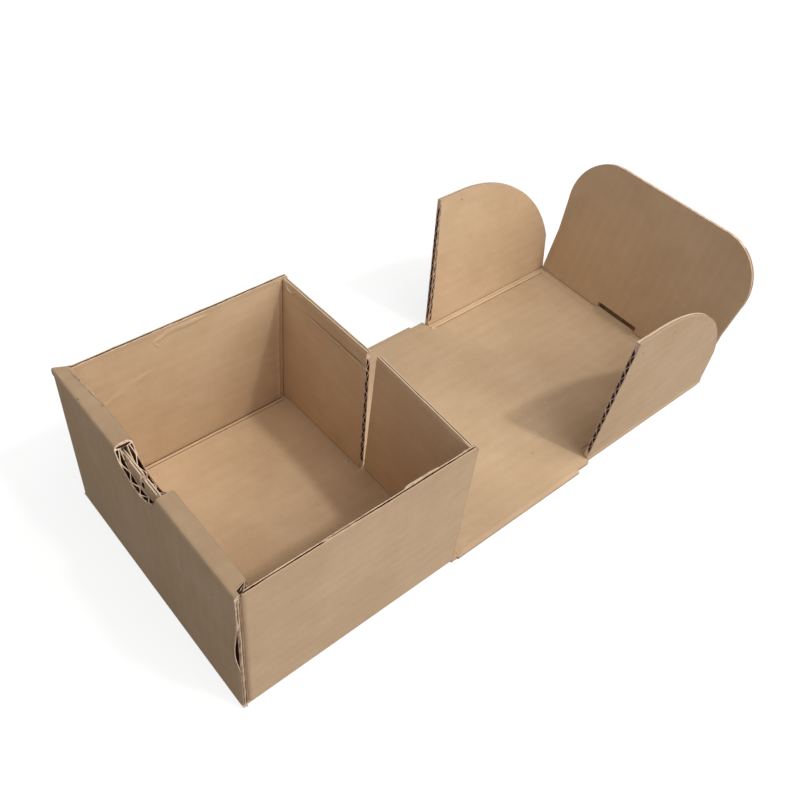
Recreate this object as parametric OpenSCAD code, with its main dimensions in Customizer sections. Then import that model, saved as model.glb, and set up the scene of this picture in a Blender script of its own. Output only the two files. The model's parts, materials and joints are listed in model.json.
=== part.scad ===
// Corrugated mailer box, roll-end tray with a hinged tuck-in lid, standing open.
//
// The box is folded from one die-cut sheet of single-wall corrugated board. The flutes run along
// the blank, from the front of the box to the back and on through the lid, so each panel is a
// length of the same fluted section, trimmed to its outline and turned to where its crease puts
// it. The creases that stay folded are crushed corners of the tray. The creases that still move
// are the gaps between the tray, the back panel, the lid and its flaps.
//
// Sizes are in millimetres. Z is up and Y runs from the front wall to the back. The origin is on
// the underside of the tray, at its centre. X is positive on the near side.

/* [Board] */
// Thickness of the corrugated board
board_t = 2.4; // [1.8:0.1:3]
// Thickness of each flat liner
liner_t = 0.35; // [0.25:0.05:0.45]
// Thickness of the wavy layer between the liners
medium_t = 0.4; // [0.3:0.05:0.5]
// Distance from one flute to the next
flute_pitch = 6.5; // [5:0.1:8]
// Width of a flute's crest, where the wavy layer is glued to a liner
flute_crest = 0.8; // [0.4:0.1:1.4]
// Width of board that is crushed flat beside a crease
crush_w = 1.2; // [0.6:0.1:2]
// Width of board that is pressed thin along a cut edge
pinch_w = 2; // [1:0.1:3]
// Thickness of the board at a cut edge that runs along the flutes
pinch_t = 1.5; // [1.1:0.1:2.2]
// Width of the open slit in a cut edge that runs along the flutes
slit_w = 0.35; // [0.1:0.05:0.6]
// Depth of that slit
slit_depth = 1; // [0.5:0.1:1.5]

/* [Tray] */
// Outer width of the tray
tray_w = 127; // [100:1:180]
// Outer length of the tray, from the front wall to the back flaps
tray_l = 109.5; // [90:0.5:160]
// Height of the front rim, where the front wall rolls over
rim_h = 81.2; // [60:0.2:110]
// Distance from the back flaps to the crease at the back of the floor
back_crease_gap = 3.2; // [2.8:0.1:6]
// Space between the plies of the rolled front wall
ply_gap = 0.1; // [0.05:0.05:0.3]
// Clearance on each side of the front wall's inner panel
inner_panel_clearance = 0.3; // [0.1:0.1:1]

/* [Front roll] */
// Space between the ends of the two dust flaps that the front roll traps
dust_flap_gap = 3; // [1:0.5:60]
// Depth of the dust flaps' top edges below the rim
dust_flap_drop = 5.5; // [4:0.1:12]
// Radius of the thumb notch
notch_r = 15; // [8:0.5:20]
// Depth of the thumb notch below the rim
notch_depth = 12.2; // [6:0.1:15]
// Width of each locking tab under the inner panel
tab_w = 18; // [10:1:30]
// Distance from the middle of the box to the middle of each locking tab
tab_x = 34; // [20:1:45]
// Clearance round each locking tab in the floor's slots
tab_clearance = 0.25; // [0.1:0.05:0.6]

/* [Back flaps] */
// Space between the ends of the two back flaps, square to their walls, along their lower edges
back_flap_low_gap = 1.8; // [1:0.1:40]
// Space between the ends of the two back flaps, square to their walls, along their upper edges
back_flap_top_gap = 5; // [1:0.1:40]
// Height of the back flaps' lower edges above the floor
back_flap_lift = 1; // [0.6:0.1:4]
// Depth of the back flaps' upper edges below the side walls
back_flap_drop = 0.4; // [0:0.1:4]
// Angle that the near back flap stands open from square
near_flap_splay = 2.4; // [0:0.1:2.4]
// Angle that the far back flap stands open from square
far_flap_splay = 0.8; // [0:0.1:2.4]

/* [Back panel and lid] */
// Height of the closed lid's inner face above the rim
lid_clearance = 3.2; // [0.5:0.1:6]
// Overhang of the back panel past each side of the tray
back_panel_overhang = 0.7; // [0:0.1:3]
// Distance from a side of the tray to the side of the lid's shoulder
shoulder_inset = 0.9; // [0:0.1:3]
// Clearance along the lid from the back flaps to the ends of the lid's shoulders
shoulder_clearance = 3; // [1:0.1:8]
// Clearance between a closed ear and the side wall
ear_clearance = 0.3; // [0.2:0.1:2]

/* [Ears] */
// Clearance between a closed ear's end and the floor
ear_floor_clearance = 7.7; // [1:0.1:30]
// Radius of an ear's rounded front edge
ear_r = 74; // [50:0.5:78]
// Height above the lid's outer face up to which an ear's front edge is straight
ear_round_h = 24.2; // [10:0.2:40]
// Distance from the end of the lid's shoulder to an ear's back edge, at the lid
ear_shoulder_gap = 0.8; // [0.6:0.1:5]
// Distance that an ear's back edge slants forward up to its top
ear_back_slant = 7.6; // [0:0.1:20]
// Distance from an ear's front end to the tuck crease
ear_front_gap = 0.8; // [0.5:0.1:10]
// Angle that the near ear leans outward
near_ear_lean = 1; // [0:0.5:30]
// Angle that the far ear leans outward
far_ear_lean = 8.5; // [0:0.5:30]

/* [Tuck flap] */
// Clearance between the closed tuck flap's end and the floor
tuck_floor_clearance = 4.8; // [1:0.1:30]
// Clearance between the closed tuck flap and the front wall's inner panel
tuck_clearance = 0.3; // [0.2:0.1:2]
// Clearance on each side between the closed tuck flap and the side walls
tuck_side_clearance = 0.7; // [0.3:0.1:4]
// Clearance on each side between the tuck flap's neck and the closed ears
tuck_ear_clearance = 0.3; // [0.2:0.1:2]
// Height that the tuck flap's neck runs on past the front edges of the closed ears
tuck_neck_over = 1.1; // [0.5:0.1:10]
// Radius of the tuck flap's corners
tuck_r = 26; // [10:0.5:35]
// Width of the slot in the tuck crease
slot_w = 28; // [16:0.5:40]
// Height of the slot's upper edge above the lid's outer face
slot_h = 5.7; // [4:0.1:10]
// Clearance round the lid's tongue in the slot
tongue_clearance = 0.3; // [0.2:0.1:1]
// Angle that the tuck flap leans outward
tuck_lean = 14; // [0:0.5:60]

/* [Creases] */
// Space at a crease that lies flat
flat_crease_gap = 0.25; // [0.15:0.05:0.5]
// Space between the inner face of a panel and a flap that stands on its crease
stand_crease_gap = 0.5; // [0.3:0.1:1]

/* [Colours] */
// Colour of the board
board_colour = "#c5a47e";
// Colour of the board where a panel's inner face shows
inner_colour = "#b98f65";

/* [Hidden] */

// The rolled front wall is three boards thick, and the side walls' tops lie under its rim
roll_t = 3 * board_t + 2 * ply_gap;
wall_h = rim_h - board_t;
inner_w = tray_w - 2 * board_t;
inner_panel_w = inner_w - 2 * inner_panel_clearance;
// The dust flaps and the back flaps meet near the middle of the tray
dust_flap_l = (tray_w - dust_flap_gap) / 2;
back_flap_low_l = (tray_w - back_flap_low_gap) / 2;
back_flap_top_l = (tray_w - back_flap_top_gap) / 2;
// The back panel stands behind the tray and carries the lid over the rim
back_panel_h = rim_h - board_t + lid_clearance;
back_panel_w = tray_w + 2 * back_panel_overhang;
closed_h = board_t + back_panel_h + board_t;
// Where the moving creases lie, measured from the front wall's outer face
back_crease_y = tray_l + back_crease_gap;
lid_crease_y = back_crease_y + back_panel_h;
// The lid brings the tuck flap down just behind the front wall
lid_l = back_crease_y - roll_t - tuck_clearance;
tuck_crease_y = lid_crease_y + lid_l;
// The ears' outer faces drop inside the side walls, and the shoulders lie over the walls' tops
lid_w = inner_w - 2 * ear_clearance;
lid_shoulder_w = tray_w - 2 * shoulder_inset;
lid_shoulder_l = back_crease_gap + board_t + shoulder_clearance;
// The closed ears and tuck flap hang from the lid and end above the floor
ear_h = closed_h - board_t - ear_floor_clearance;
tuck_h = closed_h - board_t - tuck_floor_clearance;
// An ear's back edge stands before the lid's shoulder
ear_back_low = lid_shoulder_l + ear_shoulder_gap;
ear_back_top = ear_back_low + ear_back_slant;
// An ear's front edge is straight up to where an arc, level at the ear's top, meets it
ear_front = lid_l - ear_front_gap;
ear_r_h = ear_h - ear_r;
ear_r_at = ear_front - sqrt(max(pow(ear_r, 2) - pow(ear_round_h - ear_r_h, 2), 0));
// The tuck flap fits between the side walls, and its neck between the closed ears
tuck_w = inner_w - 2 * tuck_side_clearance;
tuck_base_w = lid_w - 2 * board_t - 2 * tuck_ear_clearance;
// Height at which an ear's front edge draws back from the closed tuck flap's inner face
ear_leaves_h = ear_r_h + sqrt(max(pow(ear_r, 2) - pow(lid_l - board_t - ear_r_at, 2), 0));
tuck_neck_h = ear_leaves_h + tuck_neck_over;
// The tongue stays in the lid's plane, and the slot's upper edge swings clear of its end
tongue_w = slot_w - 2 * tongue_clearance;
tongue_l = sqrt(pow(slot_h, 2) - pow(board_t, 2)) - tongue_clearance;
// A standing flap starts above the panel that it stands on
stand_z = board_t + stand_crease_gap;
// How far a flute's open side reaches to each side of its middle
flute_half = (flute_pitch - flute_crest) / 2;
// An edge along the flutes is crushed flat at a crease, and pinched thin where it is cut
CREASE = "crease";
CUT = "cut";
// Distance that a cut runs past the faces it cuts
past = 1;
arc_fn = 96;

// Board

// Opening of one flute: wide at the lower liner when it lies under the wavy layer, else mirrored
function flute(x, under) = let (
    low = liner_t,
    high = board_t - liner_t,
    crest = flute_crest / 2
) under
    ? [[x - flute_half, low], [x + flute_half, low],
       [x + crest, high - medium_t], [x - crest, high - medium_t]]
    : [[x - crest, low + medium_t], [x + crest, low + medium_t],
       [x + flute_half, high], [x - flute_half, high]];

// Width along an edge that has no flutes
function flat_w(edge) = edge == CREASE ? crush_w : pinch_w;

// Openings of all the flutes in a board of width w
module flute_sections(w, low, high) {
    for (k = [0 : ceil(2 * w / flute_pitch)]) {
        x = k * flute_pitch / 2;
        if (x - flute_half >= flat_w(low) && x + flute_half <= w - flat_w(high))
            polygon(flute(x, k % 2 == 0));
    }
}

// What a cut along the flutes takes off a board's low edge: both corners and a slit between
module pinch_section() {
    slope = (board_t - pinch_t) / 2;
    polygon([[-past, -past], [pinch_w, -past], [pinch_w, 0], [0, slope], [-past, slope]]);
    polygon([
        [-past, board_t + past], [pinch_w, board_t + past], [pinch_w, board_t],
        [0, board_t - slope], [-past, board_t - slope]
    ]);
    translate([-past, (board_t - slit_w) / 2])
        square([slit_depth + past, slit_w]);
}

// Cross-section of a board of width w
module board_section(w, low, high) {
    difference() {
        square([w, board_t]);
        flute_sections(w, low, high);
        if (low == CUT)
            pinch_section();
        if (high == CUT)
            translate([w, 0])
                mirror([1, 0])
                    pinch_section();
    }
}

// Carries a section that is drawn across the flutes a length l along Y
module along(l) {
    translate([0, l, 0])
        rotate([90, 0, 0])
            linear_extrude(l)
                children();
}

// Flat board: width w along X, across the flutes, and length l along Y
module board(w, l, low = CUT, high = CUT) {
    along(l)
        board_section(w, low, high);
}

// Openings of all the flutes in such a board, for one that is cut to a curved outline
module flutes(w, l, low = CUT, high = CUT) {
    along(l)
        flute_sections(w, low, high);
}

// Crushed corner of a crease that stays folded, round on the outside, along Z
module folded_corner(l) {
    linear_extrude(l)
        intersection() {
            circle(board_t, $fn = arc_fn);
            square(board_t);
        }
}

// Crushed corner along X, centred on it, turned from the back upper quarter by an angle
module folded_corner_across(l, turn) {
    translate([-l / 2, 0, 0])
        rotate([90, 0, 90])
            rotate([0, 0, turn])
                folded_corner(l);
}

// Turns a board on edge with its flutes level along Y, its low edge up and its faces towards X
module turned_to_side() {
    rotate([0, 90, 0]) children();
}

// Turns a board on edge with its flutes level along X, its low edge up and its faces towards Y
module turned_to_back() {
    rotate([-90, 90, 0]) children();
}

// Turns a board on end with its flutes upright and its faces towards Y
module turned_upright() {
    rotate([90, 0, 0]) children();
}

// Moves the origin from the middle of the front wall's foot to the middle of the tray
module placed() {
    translate([0, -tray_l / 2, 0]) children();
}

// Tray

// Floor, with the slots that the front wall's locking tabs drop into
module floor_panel() {
    difference() {
        translate([-inner_w / 2, board_t, 0])
            board(inner_w, back_crease_y - board_t, CREASE, CREASE);
        for (side = [-1, 1])
            translate([
                side * tab_x - tab_w / 2 - tab_clearance,
                roll_t - board_t - tab_clearance,
                -past
            ])
                cube([tab_w + 2 * tab_clearance, board_t + 2 * tab_clearance, board_t + 2 * past]);
    }
}

// Side wall on the near side, with its folded lower edge and the dust flap round the front corner
module side_wall() {
    wall_y = board_t + ply_gap;
    dust_h = rim_h - dust_flap_drop - stand_z;
    translate([inner_w / 2, wall_y + board_t, wall_h])
        turned_to_side()
            board(wall_h - board_t, tray_l - wall_y - board_t, CUT, CREASE);
    // Crease between the floor and the wall
    translate([inner_w / 2, board_t, board_t])
        rotate([-90, 0, 0])
            folded_corner(tray_l - board_t);
    // Floor behind the wall, up to the back crease
    translate([inner_w / 2, tray_l, 0])
        cube([board_t, back_crease_gap, board_t]);
    // Crease between the wall and its dust flap
    translate([inner_w / 2, wall_y + board_t, stand_z])
        rotate([0, 0, -90])
            folded_corner(wall_h - stand_z);
    // Dust flap, trapped in the front roll
    translate([inner_w / 2, wall_y, rim_h - dust_flap_drop])
        turned_to_back()
            board(dust_h, dust_flap_l - board_t);
}

// Outline of the inner panel of the front wall, with its locking tabs below
module inner_panel_outline() {
    low = board_t + ply_gap;
    translate([-inner_panel_w / 2, low])
        square([inner_panel_w, rim_h - board_t - low]);
    for (side = [-1, 1])
        translate([side * tab_x - tab_w / 2, ply_gap])
            square([tab_w, low]);
}

// Front wall: up outside, over the rim and down inside
module front_roll() {
    difference() {
        union() {
            // Outer panel
            translate([-tray_w / 2, board_t, board_t])
                turned_upright()
                    board(tray_w, rim_h - 2 * board_t);
            // Crease between the floor and the outer panel
            translate([0, board_t, board_t])
                folded_corner_across(tray_w, 180);
            // Outer crease of the rim
            translate([0, board_t, rim_h - board_t])
                folded_corner_across(tray_w, 90);
            // Rim, whose ends slant in to the narrower inner panel
            translate([0, 0, rim_h - board_t])
                linear_extrude(board_t)
                    polygon([
                        [-tray_w / 2, board_t], [tray_w / 2, board_t],
                        [inner_panel_w / 2, roll_t - board_t], [-inner_panel_w / 2, roll_t - board_t]
                    ]);
            // Inner crease of the rim
            translate([0, roll_t - board_t, rim_h - board_t])
                folded_corner_across(inner_panel_w, 0);
            // Inner panel
            translate([0, roll_t, 0])
                turned_upright()
                    intersection() {
                        translate([-inner_panel_w / 2, 0, 0])
                            board(inner_panel_w, rim_h - board_t);
                        linear_extrude(board_t)
                            inner_panel_outline();
                    }
        }
        // Thumb notch through both panels and the rim
        translate([0, -past, rim_h - notch_depth + notch_r])
            rotate([-90, 0, 0])
                cylinder(r = notch_r, h = roll_t + 2 * past, $fn = arc_fn);
    }
}

module tray() {
    color(board_colour)
        placed() {
            floor_panel();
            front_roll();
            side_wall();
            mirror([1, 0, 0])
                side_wall();
        }
}

// Back flaps

// Back flap of the near side, square to its wall, with its crease along the Z axis
module back_flap() {
    low_z = board_t + back_flap_lift;
    top_z = wall_h - back_flap_drop;
    intersection() {
        translate([-stand_z, -board_t, top_z])
            turned_to_back()
                board(top_z - low_z, max(back_flap_low_l, back_flap_top_l) - stand_z);
        turned_upright()
            linear_extrude(board_t)
                polygon([
                    [-stand_z, low_z], [-back_flap_low_l, low_z],
                    [-back_flap_top_l, top_z], [-stand_z, top_z]
                ]);
    }
}

module back_flap_near() {
    color(inner_colour)
        placed()
            translate([tray_w / 2, tray_l, 0])
                rotate([0, 0, -near_flap_splay])
                    back_flap();
}

module back_flap_far() {
    color(inner_colour)
        placed()
            translate([-tray_w / 2, tray_l, 0])
                rotate([0, 0, far_flap_splay])
                    mirror([1, 0, 0])
                        back_flap();
}

// Back panel and lid

module back_panel() {
    color(board_colour)
        placed()
            translate([-back_panel_w / 2, back_crease_y + flat_crease_gap, 0])
                board(back_panel_w, back_panel_h - flat_crease_gap);
}

// Outline of the lid from its back crease on, with shoulders behind the ears and a tongue in front
module lid_outline() {
    translate([-lid_shoulder_w / 2, flat_crease_gap])
        square([lid_shoulder_w, lid_shoulder_l - flat_crease_gap]);
    translate([-lid_w / 2, flat_crease_gap])
        square([lid_w, lid_l - flat_crease_gap]);
    translate([-tongue_w / 2, lid_l - past])
        square([tongue_w, tongue_l + past]);
}

module lid() {
    color(board_colour)
        placed()
            translate([0, lid_crease_y, 0])
                difference() {
                    linear_extrude(board_t)
                        lid_outline();
                    translate([-lid_w / 2, 0, 0])
                        flutes(lid_w, lid_l + tongue_l + past, CREASE, CREASE);
                }
}

// Ears

// Outline of an ear: X runs along the lid from its back crease and Y is height
module ear_outline() {
    intersection() {
        polygon([
            [ear_back_low, stand_z], [ear_front, stand_z],
            [ear_front, ear_h], [ear_back_top, ear_h]
        ]);
        union() {
            square([ear_r_at, ear_h]);
            translate([ear_r_at, ear_r_h])
                circle(ear_r, $fn = arc_fn);
        }
    }
}

// Where an ear has flutes: open at its back edge, and pressed shut along its cut front and top
module ear_fluted_area() {
    square([ear_r_at, ear_h - pinch_w]);
    intersection() {
        square([ear_front - pinch_w, ear_h]);
        translate([ear_r_at, ear_r_h])
            circle(ear_r - pinch_w, $fn = arc_fn);
    }
}

// Ear of the near side, upright, with its crease along the Y axis
module ear() {
    difference() {
        translate([-board_t, 0, 0])
            rotate([90, 0, 90])
                linear_extrude(board_t)
                    ear_outline();
        intersection() {
            translate([-board_t, 0, ear_h])
                turned_to_side()
                    flutes(ear_h - stand_z, lid_l, CUT, CREASE);
            translate([-board_t, 0, 0])
                rotate([90, 0, 90])
                    linear_extrude(board_t)
                        ear_fluted_area();
        }
    }
}

module ear_near() {
    color(board_colour)
        placed()
            translate([lid_w / 2, lid_crease_y, 0])
                rotate([0, near_ear_lean, 0])
                    ear();
}

module ear_far() {
    color(board_colour)
        placed()
            translate([-lid_w / 2, lid_crease_y, 0])
                rotate([0, -far_ear_lean, 0])
                    mirror([1, 0, 0])
                        ear();
}

// Tuck flap

// Outline of the tuck flap: narrow beside the ears, then full width up to its round corners.
// A margin draws every edge in by that much.
module tuck_outline(margin = 0) {
    shoulder = tuck_h - tuck_r;
    base = tuck_base_w / 2 - margin;
    side = tuck_w / 2 - margin;
    foot = stand_z + margin;
    difference() {
        union() {
            polygon([
                [-base, foot], [base, foot], [base, tuck_neck_h],
                [side, shoulder], [-side, shoulder], [-base, tuck_neck_h]
            ]);
            translate([-tuck_w / 2 + tuck_r, shoulder - past])
                square([tuck_w - 2 * tuck_r, tuck_r + past - margin]);
            for (end = [-1, 1])
                translate([end * (tuck_w / 2 - tuck_r), shoulder])
                    circle(tuck_r - margin, $fn = arc_fn);
        }
        // Slot in the crease
        translate([-slot_w / 2 - margin, 0])
            square([slot_w + 2 * margin, slot_h + margin]);
    }
}

module tuck_flap() {
    color(inner_colour)
        placed()
            translate([0, tuck_crease_y, 0])
                rotate([-tuck_lean, 0, 0])
                    turned_upright()
                        difference() {
                            linear_extrude(board_t)
                                tuck_outline();
                            intersection() {
                                translate([-tuck_w / 2, 0, 0])
                                    flutes(tuck_w, tuck_h);
                                linear_extrude(board_t)
                                    tuck_outline(pinch_w);
                            }
                        }
}

tray();
back_flap_far();
back_flap_near();
back_panel();
lid();
ear_far();
ear_near();
tuck_flap();
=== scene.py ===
# %% [markdown]
# # A corrugated mailer box, standing open
# The real box is one sheet of corrugated board, cut, creased and folded with no glue. The tray is
# locked together at its front, and the back panel, the lid and the lid's flaps lie open behind it.
# The folded boards come from the CAD model with their true flutes, so this lesson adds what makes
# them look like paper: the finish of the liners and cut edges, the creases, and the wear.
#
# The CAD model is a fixed frame: its parts are never moved or reshaped. Where the real tray is
# dented, a copy of its mesh stands in for it.

# %% Load the frame
import json
import math

import bmesh
import bpy
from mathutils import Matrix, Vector, noise


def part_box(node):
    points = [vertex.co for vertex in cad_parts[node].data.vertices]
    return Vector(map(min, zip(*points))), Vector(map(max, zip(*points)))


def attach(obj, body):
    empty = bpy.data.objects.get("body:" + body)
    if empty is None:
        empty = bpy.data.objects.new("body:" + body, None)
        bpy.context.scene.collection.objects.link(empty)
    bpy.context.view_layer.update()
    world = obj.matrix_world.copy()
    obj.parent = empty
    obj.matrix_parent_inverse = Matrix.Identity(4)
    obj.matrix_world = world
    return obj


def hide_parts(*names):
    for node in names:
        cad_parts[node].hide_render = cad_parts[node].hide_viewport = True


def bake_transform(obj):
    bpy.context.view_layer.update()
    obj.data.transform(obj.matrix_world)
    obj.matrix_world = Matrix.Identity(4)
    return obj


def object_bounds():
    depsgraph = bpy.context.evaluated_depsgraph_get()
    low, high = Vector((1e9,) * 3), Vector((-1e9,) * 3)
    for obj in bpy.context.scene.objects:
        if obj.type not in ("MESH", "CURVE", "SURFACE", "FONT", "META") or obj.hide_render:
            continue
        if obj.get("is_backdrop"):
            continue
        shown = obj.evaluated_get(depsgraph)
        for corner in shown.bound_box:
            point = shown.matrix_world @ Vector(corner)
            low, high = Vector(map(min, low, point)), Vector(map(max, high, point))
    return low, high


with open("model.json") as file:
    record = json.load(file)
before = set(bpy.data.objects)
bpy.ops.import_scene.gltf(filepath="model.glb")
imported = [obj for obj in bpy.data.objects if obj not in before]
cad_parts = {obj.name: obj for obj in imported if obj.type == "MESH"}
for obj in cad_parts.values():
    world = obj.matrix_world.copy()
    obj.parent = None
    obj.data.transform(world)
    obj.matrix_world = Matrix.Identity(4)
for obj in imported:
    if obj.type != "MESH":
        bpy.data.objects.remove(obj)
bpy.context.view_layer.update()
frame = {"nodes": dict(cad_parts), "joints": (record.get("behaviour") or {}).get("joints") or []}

scene = bpy.context.scene

# %% [markdown]
# ## Sizes taken from the frame
# Everything that is added has to fit the boards, so its sizes are read from the CAD parts. The
# back panel lies flat, and its height is the thickness of the board. The hinges of the record
# say where the creases are. Working in millimetres keeps the numbers readable.

# %% Sizes
MM = 0.001
FLUTE_PITCH = 6.5
PLY_GAP = 0.1
X, Y, Z = Vector((1, 0, 0)), Vector((0, 1, 0)), Vector((0, 0, 1))
SIDES = ((1, "near"), (-1, "far"))


def corners(node):
    """Lowest and highest corner of a CAD part, in millimetres."""
    low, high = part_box(node)
    return low / MM, high / MM


board_t = corners("back_panel")[1].z
tray_low, tray_high = corners("tray")
crease = {j["name"]: Vector(j["pos_m"]) / MM for j in frame["joints"]}
wall_x = tray_high.x
wall_inside = wall_x - board_t
front_y = tray_low.y
inner_y = front_y + 3 * board_t + 2 * PLY_GAP
back_y = crease["back_flap_near_crease"].y
rim_z = tray_high.z
wall_z = rim_z - board_t
print("board", round(board_t, 2), "tray", [round(v, 1) for v in (*tray_low, *tray_high)])

# %% [markdown]
# ## The colours of kraft board
# Kraft liner is a warm buff. The outside of this box is a little greyer than the inside, a cut
# edge shows paler, greyish paper, and the wavy layer inside is darker. Blender wants linear
# colour, so a small helper turns the 0 to 255 values of a colour picker into linear ones. Each
# paper has two colours, its main one and a darker one for its clouds.

# %% Colours


def paint(red, green, blue):
    """Linear colour from 0 to 255 screen values."""
    def linear(v):
        v = v / 255
        return v / 12.92 if v <= 0.04045 else ((v + 0.055) / 1.055) ** 2.4
    return (linear(red), linear(green), linear(blue), 1.0)


OUTSIDE = paint(197, 170, 141), paint(184, 154, 123)
OUTSIDE_SLOPE = paint(180, 154, 127), paint(168, 140, 112)
INSIDE = paint(203, 175, 143), paint(187, 157, 124)
INSIDE_SLOPE = paint(182, 154, 124), paint(168, 139, 108)
# The rim is painted darker than the other liners: painted shade, because the open rim gets more light here
# than on the real box
RIM_PAINTED_SHADE = paint(168, 143, 115), paint(153, 127, 100)
CUT = paint(228, 202, 182), paint(186, 156, 134)
FLUTE = paint(124, 92, 66), paint(78, 54, 38)
# Painted shade, for the gaps, slits and inner corners that lie in shade
GAP_SHADE = paint(62, 43, 31), paint(38, 25, 18)
TORN = paint(208, 184, 158), paint(180, 154, 128)
# Worn paper, also used as painted shade: a brown soft shadow at the front corner and along the ragged rim
# edge
WORN_AND_SHADE = paint(160, 132, 106), paint(138, 110, 86)
# Painted shade in brown, for the slot and for the bared flutes
BROWN_SHADE = paint(88, 62, 43), paint(62, 42, 29)
BARK_SPECK, PULP_SPECK = paint(84, 62, 46), paint(232, 212, 178)

# %% [markdown]
# ## Node helpers
# A procedural material is a small graph of nodes. A few helpers keep each material short: they add
# a node with its values, multiply, blend two colours by a mask, turn a noise into a mask and raise
# the surface. All textures use object coordinates, so the grain has its real size and moves with
# the board when a flap turns.

# %% Node helpers


def feed(tree, node, inputs):
    """Sets each input of a node to a value, or links it to a socket."""
    for name, value in inputs.items():
        if isinstance(value, bpy.types.NodeSocket):
            tree.links.new(value, node.inputs[name])
        else:
            node.inputs[name].default_value = value


def add_node(tree, kind, inputs=None, **settings):
    """Adds a node, sets its properties and feeds its inputs."""
    node = tree.nodes.new(kind)
    for name, value in settings.items():
        setattr(node, name, value)
    feed(tree, node, inputs or {})
    return node


def math_of(tree, operation, a, b=0.0, c=0.0):
    """One arithmetic step on up to three values or sockets."""
    return add_node(tree, "ShaderNodeMath", {0: a, 1: b, 2: c}, operation=operation).outputs[0]


def product(tree, *values):
    """All the values multiplied, one after another."""
    result = values[0]
    for value in values[1:]:
        result = math_of(tree, "MULTIPLY", result, value)
    return result


def mix_colours(tree, mask, low, high, mode="MIX"):
    """Colour that goes from low to high as the mask goes from 0 to 1."""
    inputs = {0: mask, 6: low, 7: high}
    return add_node(tree, "ShaderNodeMix", inputs, data_type="RGBA", blend_type=mode).outputs[2]


def band(tree, value, low, high, to_low=0.0, to_high=1.0):
    """Turns the part of a value between low and high into a smooth mask."""
    inputs = {"Value": value, "From Min": low, "From Max": high, "To Min": to_low, "To Max": to_high}
    return add_node(tree, "ShaderNodeMapRange", inputs, interpolation_type="SMOOTHSTEP").outputs["Result"]


def grain(tree, scale, stretch=(1, 1, 1), detail=3.0, roughness=0.55):
    """Noise whose features are 1 / scale metres wide, stretched along an axis where that is small."""
    place = add_node(tree, "ShaderNodeTexCoord").outputs["Object"]
    place = add_node(tree, "ShaderNodeMapping", {"Vector": place, "Scale": stretch}).outputs[0]
    inputs = {"Vector": place, "Scale": scale, "Detail": detail, "Roughness": roughness}
    return add_node(tree, "ShaderNodeTexNoise", inputs).outputs["Fac"]


def new_material(name, shine=0.22):
    """Empty material with a matt surface, its tree and its surface node."""
    material = bpy.data.materials.new(name)
    material.use_nodes = True
    tree = material.node_tree
    surface = tree.nodes["Principled BSDF"]
    surface.inputs["Specular IOR Level"].default_value = shine
    return material, tree, surface


def finish_surface(tree, surface, colour, roughness, height, strength, distance):
    """Gives a surface its colour, its roughness and a fine relief, this many metres high."""
    bump = add_node(tree, "ShaderNodeBump", {"Strength": strength, "Distance": distance, "Height": height})
    feed(tree, surface, {"Base Color": colour, "Roughness": roughness, "Normal": bump.outputs[0]})


# %% [markdown]
# ## The liner
# Kraft liner isn't one flat colour. It has cloudy patches a few centimetres wide, short fibres
# drawn out across the flutes, a faint washboard where the liner is glued to each flute crest, and
# stray dark and pale specks. Each is a layer here, and the fibres and the washboard also raise
# the surface a little. A photograph as a texture would be quicker, but it would repeat and
# wouldn't follow the flutes.

# %% Liner material
# Painted light: the lid and the back panel are painted palest along a slanting line, with painted shade to
# both sides of it; here are its slant, place and half width, and where it has faded
PAINTED_LIGHT_SLANT, PAINTED_LIGHT_AT, PAINTED_LIGHT_HALF, PAINTED_LIGHT_FADED = 0.8, 0.07, 0.015, 0.07


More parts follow.
